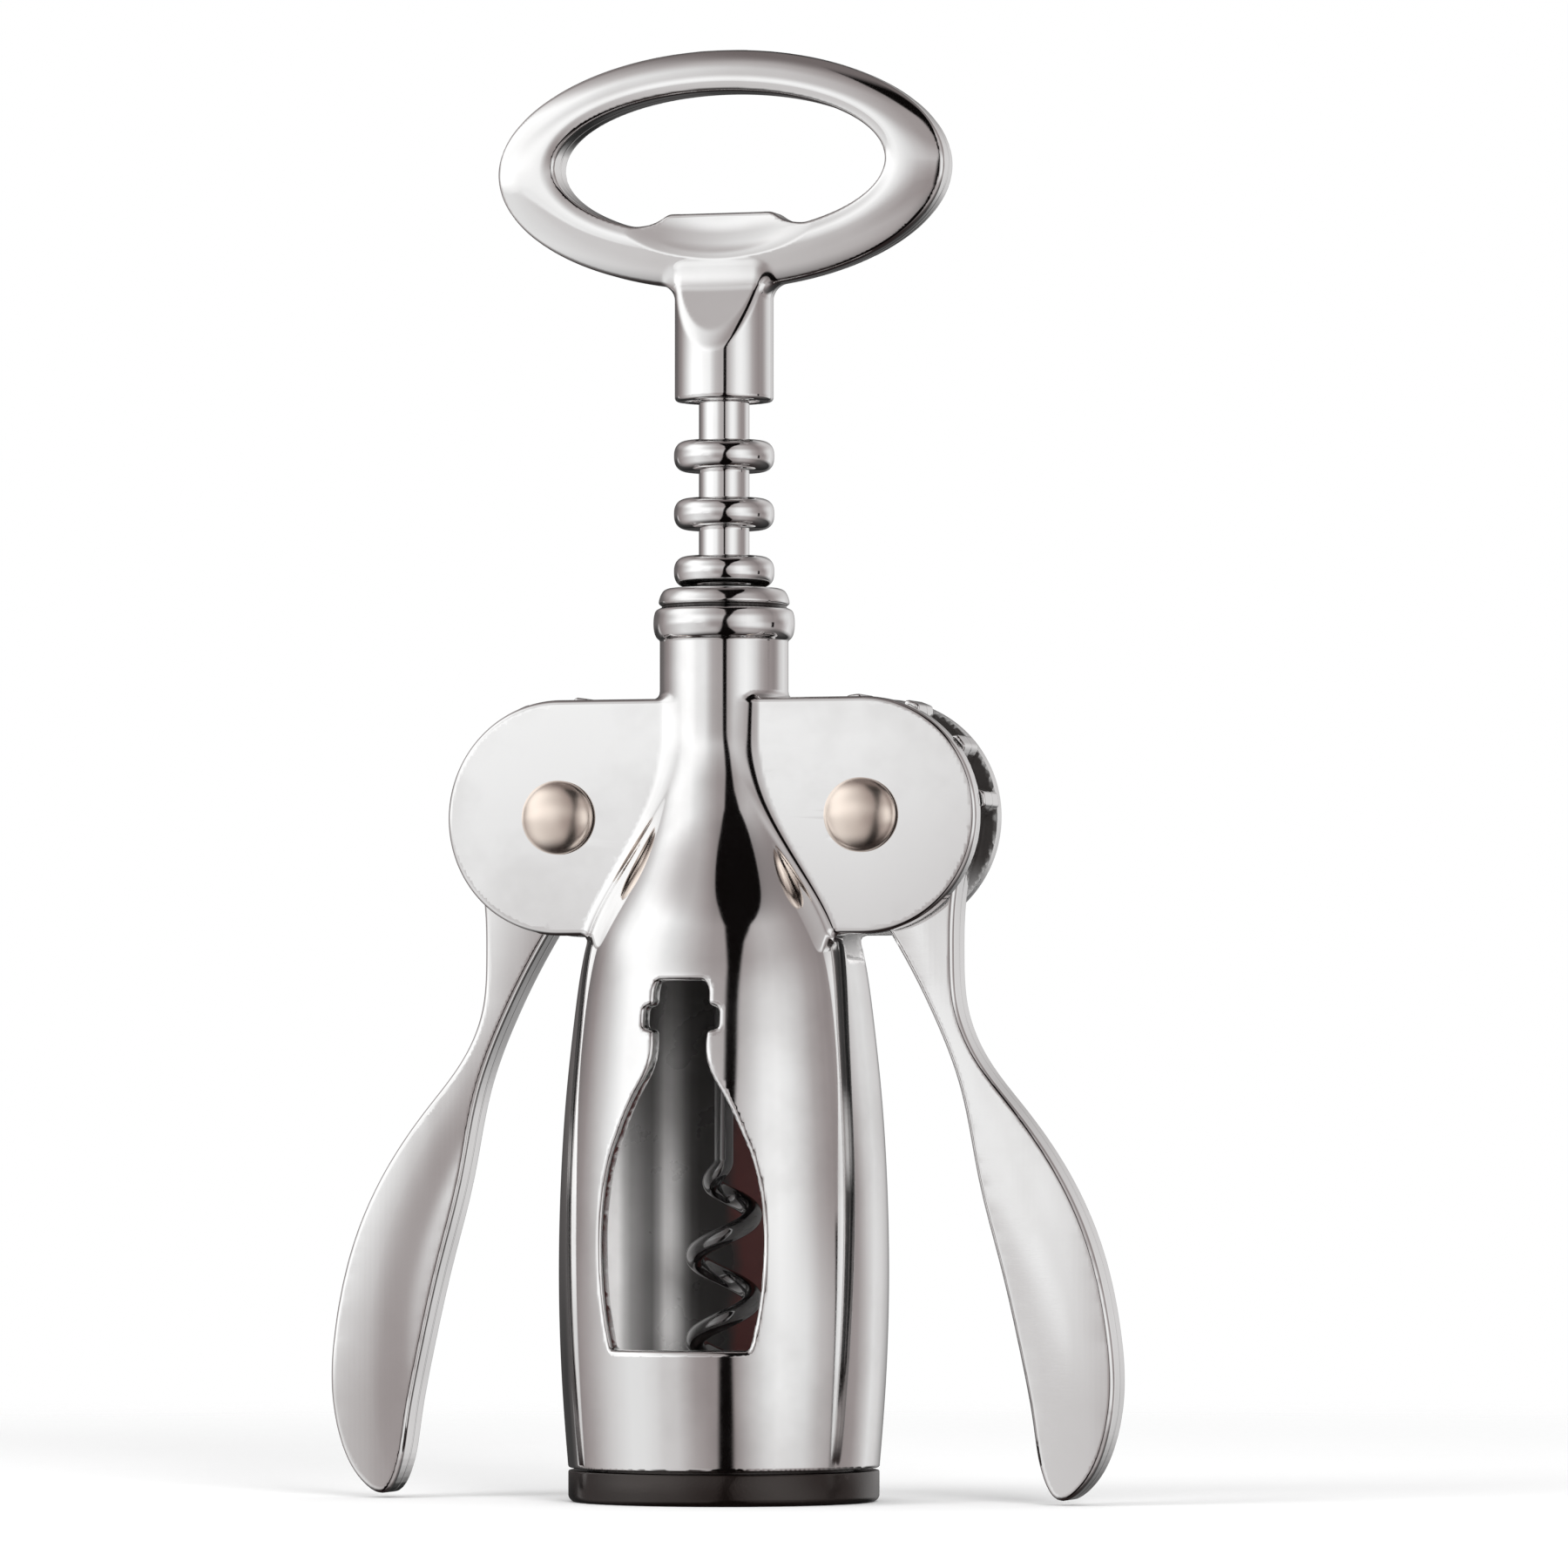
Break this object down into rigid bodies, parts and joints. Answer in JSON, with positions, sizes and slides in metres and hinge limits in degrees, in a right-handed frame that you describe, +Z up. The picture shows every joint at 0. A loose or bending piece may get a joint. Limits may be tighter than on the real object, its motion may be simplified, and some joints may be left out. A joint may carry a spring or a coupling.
{
  "type": "wing corkscrew",
  "caption": "Chrome wing corkscrew with a bottle-shaped bell, geared wing levers, a ringed rack, a dark worm and an oval handle with a cap lifter.",
  "frame": {"origin": "centre of the bottle rest ring's underside, on the rack's axis", "axes": "+Z up along the rack towards the handle, +X towards the right lever, -Y towards the window"},
  "size_m": [0.1016, 0.0408, 0.1804],
  "materials": {
    "polished_chrome": "bright chrome plate on a zinc casting",
    "dark_plastic": "semi-gloss brown-black moulded plastic",
    "champagne_nickel": "satin champagne nickel plate",
    "black_coating": "smooth glossy black non-stick coating",
    "plated_steel": "plain zinc-plated steel"
  },
  "bodies": {
    "body": {"body_casting": "polished_chrome", "bottle_rest_ring": "dark_plastic", "left_pivot_rivet": "champagne_nickel", "left_rivet_cap": "champagne_nickel", "right_pivot_rivet": "champagne_nickel", "right_rivet_cap": "champagne_nickel"},
    "left_wing": {"left_lever": "polished_chrome"},
    "right_wing": {"right_lever": "polished_chrome"},
    "rack_slider": {"stop_washer": "plated_steel"},
    "spindle": {"rack_spindle": "polished_chrome", "opener_handle": "polished_chrome", "worm_screw": "black_coating", "retaining_clip": "plated_steel"}
  },
  "joints": [
    {"name": "left_lever_hinge", "type": "hinge", "parent": "body", "child": "left_wing", "pos_m": [-0.0196, 0, 0.0848], "axis": [0, 1, 0], "range_deg": [0, 135]},
    {"name": "right_lever_hinge", "type": "hinge", "parent": "body", "child": "right_wing", "pos_m": [0.0196, 0, 0.0848], "axis": [0, -1, 0], "range_deg": [0, 135]},
    {"name": "rack_slide", "type": "slide", "parent": "body", "child": "rack_slider", "axis": [0, 0, 1], "range_m": [-0.03241, 0]},
    {"name": "handle_spin", "type": "hinge", "parent": "rack_slider", "child": "spindle", "pos_m": [0, 0, 0.0765], "axis": [0, 0, 1], "continuous": true}
  ],
  "couplings": [
    {"joint": "right_lever_hinge", "follows": "left_lever_hinge", "ratio": 1},
    {"joint": "rack_slide", "follows": "left_lever_hinge", "m_per_rad": -0.013751}
  ]
}
